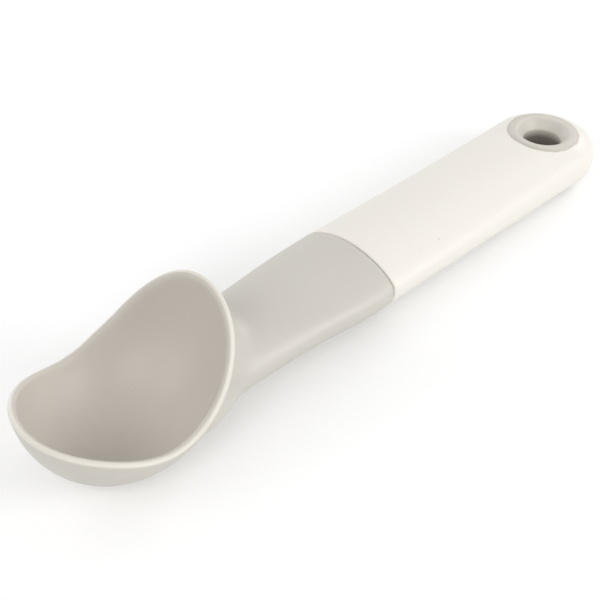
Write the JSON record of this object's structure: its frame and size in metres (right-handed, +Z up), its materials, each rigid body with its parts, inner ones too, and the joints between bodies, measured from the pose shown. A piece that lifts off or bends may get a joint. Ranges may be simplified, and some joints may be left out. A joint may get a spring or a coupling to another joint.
{
  "type": "ice cream scoop",
  "caption": "Moulded ice cream scoop: deep egg-shaped bowl with a dipped rim, a flared neck, a rounded pale grip and a lined hang hole at its end.",
  "frame": {"origin": "middle of the scoop's outer box, on the surface it lies on", "axes": "+X along the scoop from the bowl to the end of the grip, +Y across it, +Z up; the scoop lies as it rests on a table, on the bottom of the bowl and the end of the grip"},
  "size_m": [0.1942, 0.0442, 0.0382],
  "materials": {
    "head_plastic": "satin",
    "grip_plastic": "satin",
    "bush_plastic": "satin"
  },
  "bodies": {
    "root": {"head": "head_plastic", "grip": "grip_plastic", "hang_bush": "bush_plastic"}
  },
  "joints": []
}
